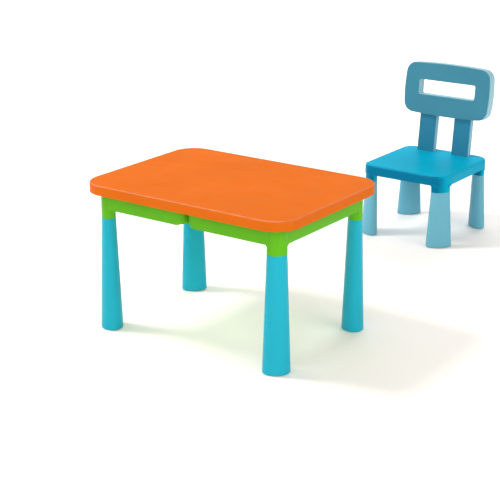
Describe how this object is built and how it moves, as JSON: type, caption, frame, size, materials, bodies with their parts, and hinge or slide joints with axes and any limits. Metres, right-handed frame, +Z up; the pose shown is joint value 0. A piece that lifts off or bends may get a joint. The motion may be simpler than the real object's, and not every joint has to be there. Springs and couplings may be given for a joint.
{
  "type": "kids table and chair set",
  "caption": "Low child's table with a lift-off rounded top over a storage tray and tapered oval legs, with a matching chair that has a slotted backrest.",
  "frame": {"origin": "on the floor, in the middle of the outline of the set: the table stands towards -Y and the chair towards +Y", "axes": "+Z up; +X along the table's long side, to the right for someone who looks along +Y; the chair faces -Y, towards the table"},
  "size_m": [0.77, 1.7612, 0.6309],
  "materials": {
    "top_orange": "satin",
    "frame_green": "satin",
    "table_leg_turquoise": "satin",
    "seat_blue": "satin",
    "chair_leg_blue": "satin",
    "back_blue": "satin",
    "foot_grey": "matte"
  },
  "bodies": {
    "table": {"table_frame": "frame_green", "table_leg_front_left": "table_leg_turquoise", "table_leg_front_right": "table_leg_turquoise", "table_leg_back_left": "table_leg_turquoise", "table_leg_back_right": "table_leg_turquoise", "table_foot_front_left": "foot_grey", "table_foot_front_right": "foot_grey", "table_foot_back_left": "foot_grey", "table_foot_back_right": "foot_grey"},
    "top": {"table_top": "top_orange"},
    "chair": {"chair_seat": "seat_blue", "chair_leg_front_left": "chair_leg_blue", "chair_leg_front_right": "chair_leg_blue", "chair_leg_back_left": "chair_leg_blue", "chair_leg_back_right": "chair_leg_blue", "chair_foot_front_left": "foot_grey", "chair_foot_front_right": "foot_grey", "chair_foot_back_left": "foot_grey", "chair_foot_back_right": "foot_grey", "chair_upright_left": "back_blue", "chair_upright_right": "back_blue", "chair_backrest": "back_blue"}
  },
  "joints": [
    {"name": "top_lift", "type": "slide", "parent": "table", "child": "top", "axis": [0, 0, 1], "range_m": [0, 0.25]},
    {"name": "chair_slide", "type": "slide", "parent": "table", "child": "chair", "axis": [0, -1, 0], "range_m": [0, 1.11]}
  ]
}
